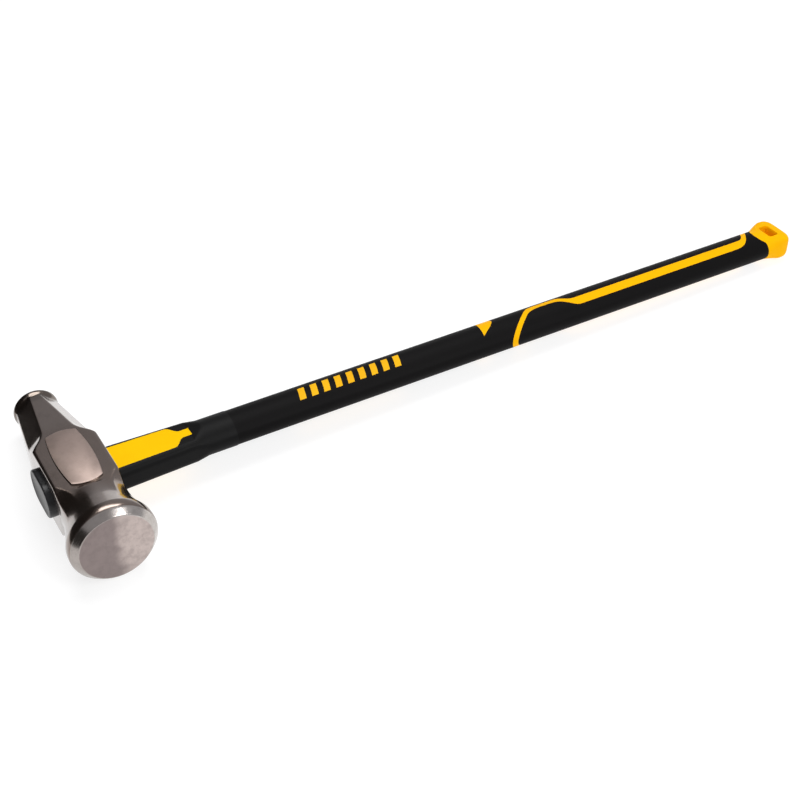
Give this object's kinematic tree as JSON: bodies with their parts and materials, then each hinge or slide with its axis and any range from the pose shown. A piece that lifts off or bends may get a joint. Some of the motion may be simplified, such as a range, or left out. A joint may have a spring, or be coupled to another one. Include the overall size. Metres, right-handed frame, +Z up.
{
  "type": "sledgehammer",
  "caption": "Long-handled sledgehammer with a flanged steel head, eight-sided taper, black moulded handle, yellow neck panels, stripe and butt.",
  "frame": {"origin": "centre of the lower cheek pad, on the pad's ground face, straight below the middle of the eye", "axes": "+X along the handle from the head to the butt, +Z up through both cheek pads, -Y towards the large striking face"},
  "size_m": [0.899, 0.226, 0.084],
  "materials": {
    "head_steel": "dark clear-lacquered forging, ground satin on the pads and the striking face",
    "cap_plastic": "matt black moulding with a grey sheen",
    "resin": "cast amber resin, hidden in the eye",
    "glass_fibre": "pultruded glass fibre, hidden in the handle",
    "jacket_plastic": "hard moulded plastic, hidden under the guard and the sleeve",
    "guard_rubber": "smooth tough rubber with a soft sheen",
    "grip_rubber": "matt soft rubber, very finely grained",
    "yellow_plastic": "smooth warm yellow moulding",
    "mark_plastic": "thin yellow inlay set flush in the sleeve"
  },
  "bodies": {
    "root": {"head": "head_steel", "eye_cap": "cap_plastic", "eye_resin": "resin", "core_rod": "glass_fibre", "handle_jacket": "jacket_plastic", "neck_guard": "guard_rubber", "neck_panel_upper": "yellow_plastic", "neck_panel_lower": "yellow_plastic", "grip_sleeve": "grip_rubber", "grip_stripe": "yellow_plastic", "grip_fin": "yellow_plastic", "mark_bars": "mark_plastic", "butt_cap": "yellow_plastic"}
  },
  "joints": []
}
